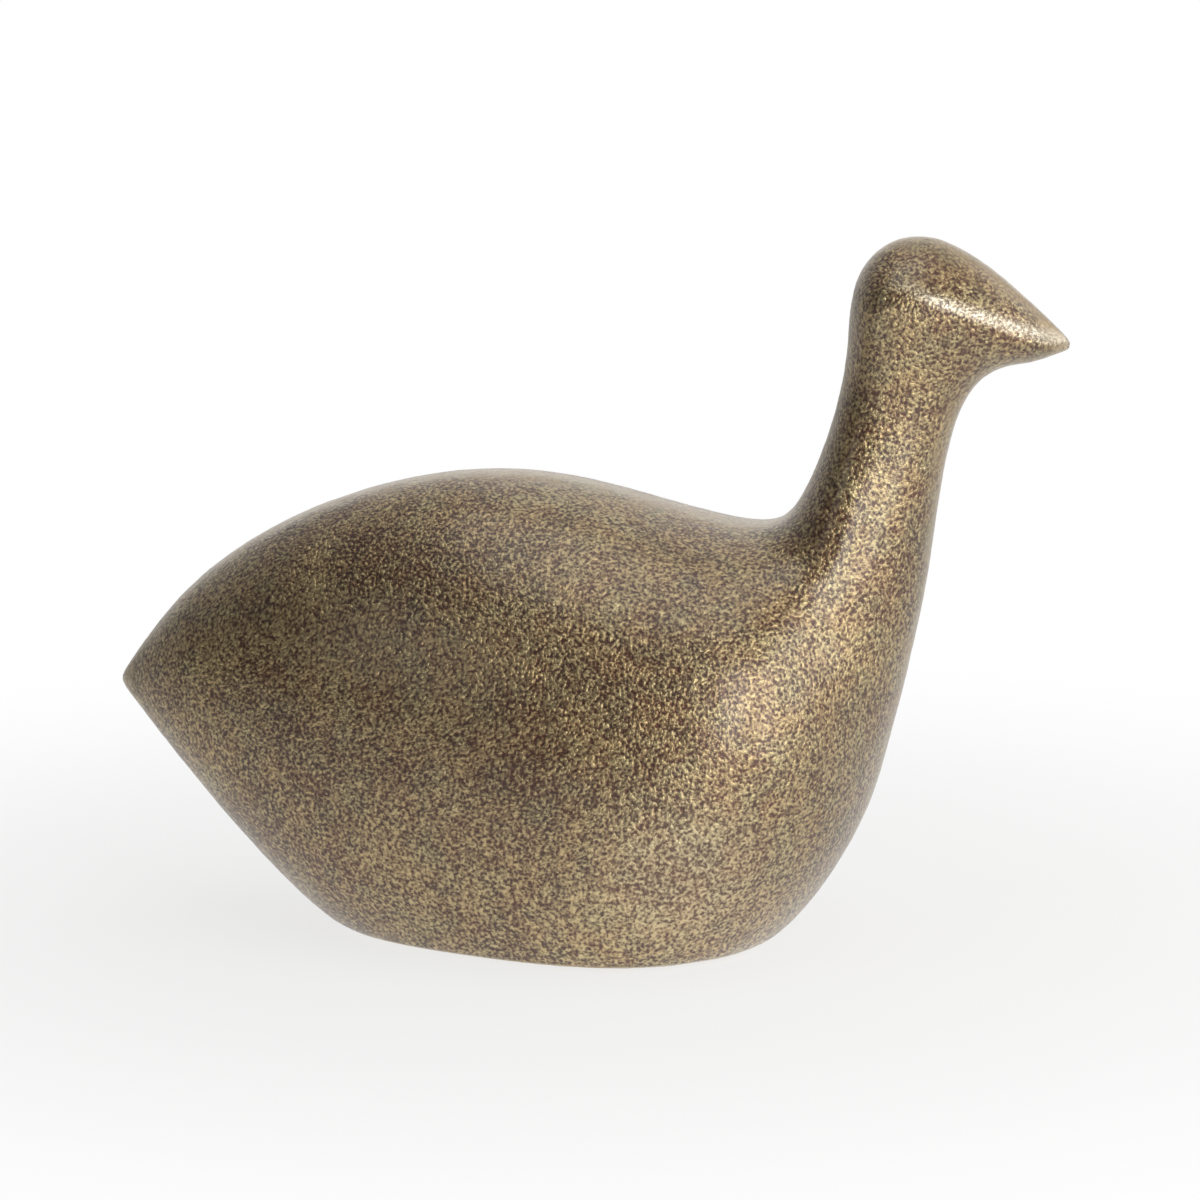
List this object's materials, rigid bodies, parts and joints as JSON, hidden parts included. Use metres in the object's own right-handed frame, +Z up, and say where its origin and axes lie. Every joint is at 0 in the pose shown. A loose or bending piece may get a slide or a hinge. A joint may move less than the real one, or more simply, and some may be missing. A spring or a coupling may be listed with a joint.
{
  "type": "paperweight",
  "caption": "Bird-shaped paperweight: a solid sand-cast coot with a round body, slim neck and pointed beak, its ground base recessed for a felt pad.",
  "frame": {"origin": "on the surface that the paperweight stands on, under the middle of its length and width", "axes": "+X forwards towards the beak, +Y across to the bird's left, +Z up"},
  "size_m": [0.099, 0.0486, 0.0735],
  "materials": {
    "antiqued_brass": "sand-cast grain, darkened in the pits and rubbed bright on the high spots",
    "wool_felt": "pressed wool felt"
  },
  "bodies": {
    "root": {"bird_casting": "antiqued_brass", "felt_pad": "wool_felt"}
  },
  "joints": []
}
